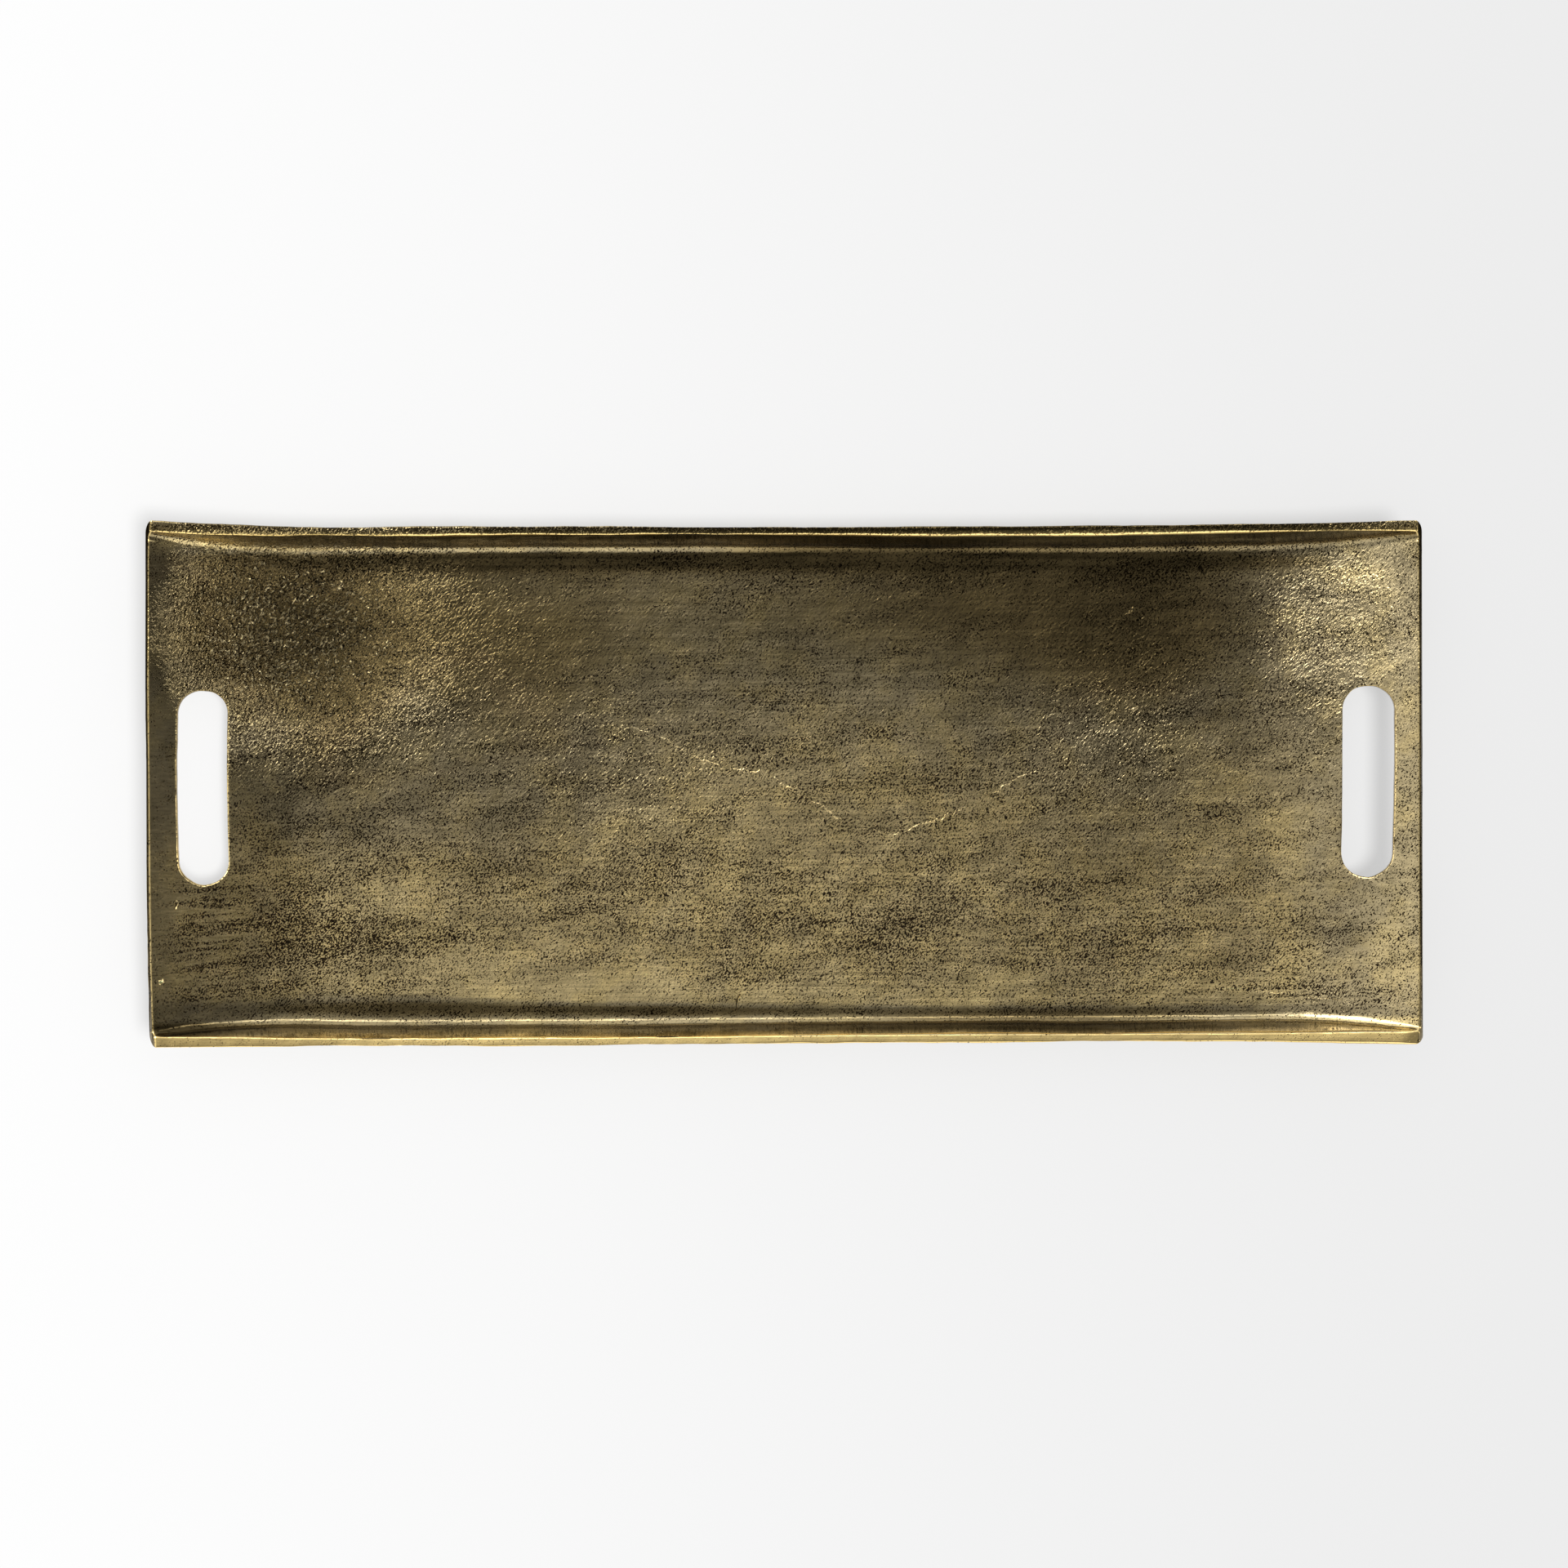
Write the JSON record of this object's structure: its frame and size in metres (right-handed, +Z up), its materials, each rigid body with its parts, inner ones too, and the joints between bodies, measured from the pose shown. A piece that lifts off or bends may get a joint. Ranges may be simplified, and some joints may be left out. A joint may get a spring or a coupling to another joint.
{
  "type": "serving tray",
  "caption": "Long rectangular cast tray with leaning side walls, ends swept up to the rim, a finger slot through each end and felt pads underneath.",
  "frame": {"origin": "on the surface that the tray stands on, under the middle of its length and width", "axes": "+Z up out of the tray, +X along its length, +Y across it"},
  "size_m": [0.6594, 0.2716, 0.0361],
  "materials": {
    "cast_brass": "antiqued sand casting, dark patina in the pits, rubbed bright on the edges",
    "felt": "pressed wool felt",
    "adhesive": "matt acrylic adhesive film"
  },
  "bodies": {
    "root": {"tray_body": "cast_brass", "felt_pad_front_left": "felt", "felt_pad_rear_left": "felt", "felt_pad_front_right": "felt", "felt_pad_rear_right": "felt", "adhesive_film_front_left": "adhesive", "adhesive_film_rear_left": "adhesive", "adhesive_film_front_right": "adhesive", "adhesive_film_rear_right": "adhesive"}
  },
  "joints": []
}
